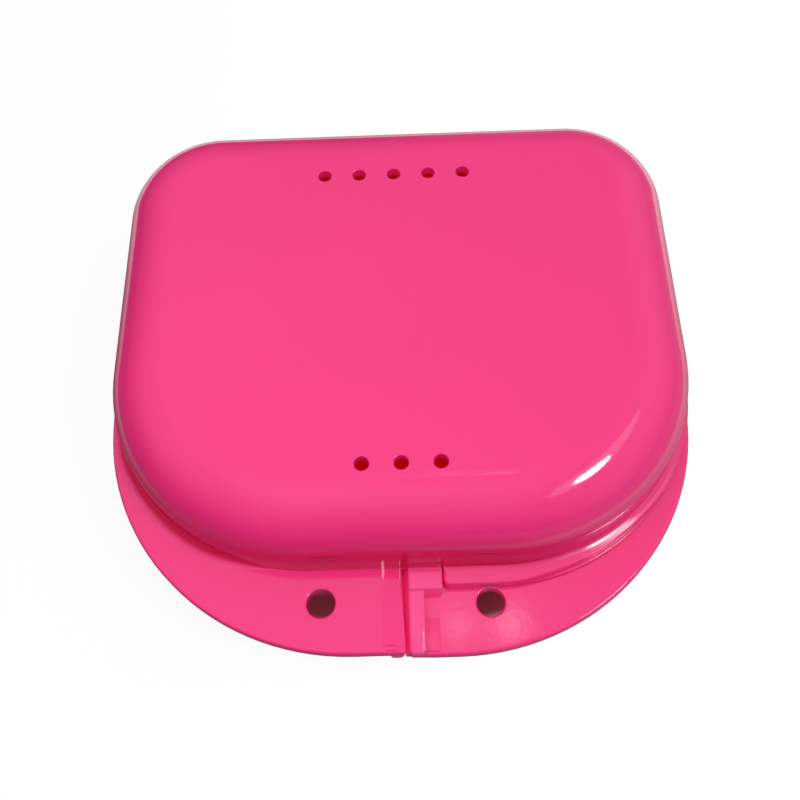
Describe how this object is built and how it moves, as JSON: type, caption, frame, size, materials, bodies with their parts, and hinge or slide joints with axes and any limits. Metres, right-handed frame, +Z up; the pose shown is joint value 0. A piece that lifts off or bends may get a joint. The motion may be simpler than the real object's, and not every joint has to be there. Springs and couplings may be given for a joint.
{
  "type": "retainer case",
  "caption": "Glossy pink two-shell dental retainer case with vent holes, offset thumb tabs, a snap latch at the front and a snap hinge at the back.",
  "frame": {"origin": "centre of the shell's plan, on the flat bottom that stands on the table", "axes": "+Z up, -Y to the front with the latch and the thumb tabs, +Y to the hinge, +X to the right"},
  "size_m": [0.082, 0.0846, 0.028],
  "materials": {
    "base_plastic": "high gloss moulded polypropylene, hot pink",
    "lid_plastic": "high gloss moulded polypropylene, hot pink"
  },
  "bodies": {
    "base": {"base_shell": "base_plastic", "base_rim": "base_plastic", "base_thumb_tab": "base_plastic", "base_latch_hook": "base_plastic", "base_hinge_pin": "base_plastic", "base_hinge_clip": "base_plastic"},
    "lid": {"lid_shell": "lid_plastic", "lid_rim": "lid_plastic", "lid_thumb_tab": "lid_plastic", "lid_latch_hook": "lid_plastic", "lid_hinge_pin": "lid_plastic", "lid_hinge_clip": "lid_plastic"}
  },
  "joints": [
    {"name": "lid_hinge", "type": "hinge", "parent": "base", "child": "lid", "pos_m": [0, 0.0376, 0.014], "axis": [-1, 0, 0], "range_deg": [0, 180]}
  ]
}
